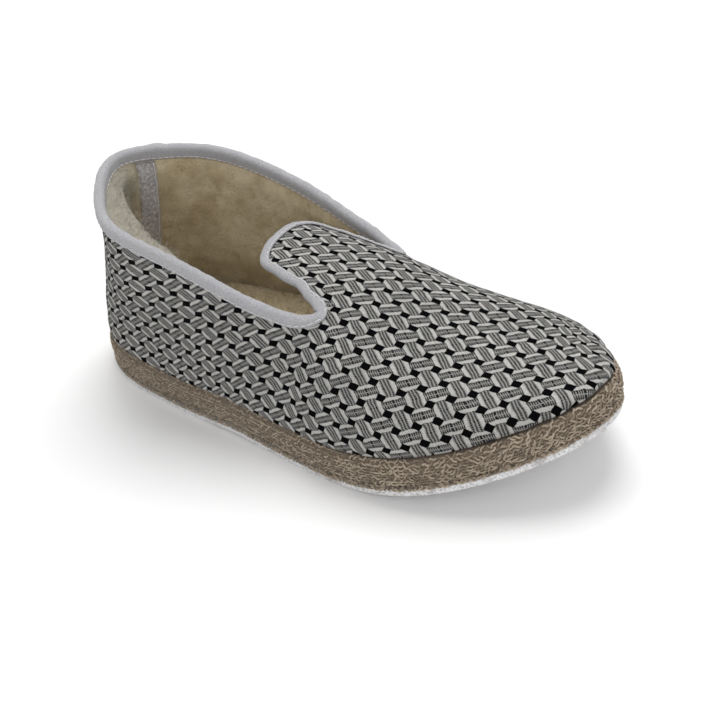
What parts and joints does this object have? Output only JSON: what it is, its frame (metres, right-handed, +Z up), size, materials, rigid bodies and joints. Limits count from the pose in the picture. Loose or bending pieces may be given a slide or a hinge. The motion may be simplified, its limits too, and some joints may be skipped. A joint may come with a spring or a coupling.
{
  "type": "slipper",
  "caption": "Right-foot house slipper with a hollow woven-cloth upper, bound collar and tongue flap, fleece footbed, wrapped edge band and thin felt outsole.",
  "frame": {"origin": "centre of the slipper's bounding box, on the floor", "axes": "+X from heel to toe, +Y towards the inner side of the foot, +Z up"},
  "size_m": [0.266, 0.1049, 0.1033],
  "materials": {
    "outsole": "matt off-white felt",
    "midsole": "looped brown wrapping cloth",
    "insole": "cream wool fleece",
    "upper": "basket-weave cloth in ecru and black",
    "collar_binding": "matt pale grey tape",
    "heel_tape": "grey speckled tape"
  },
  "bodies": {
    "root": {"outsole": "outsole", "midsole": "midsole", "insole": "insole", "upper": "upper", "collar_binding": "collar_binding", "heel_tape": "heel_tape"}
  },
  "joints": []
}
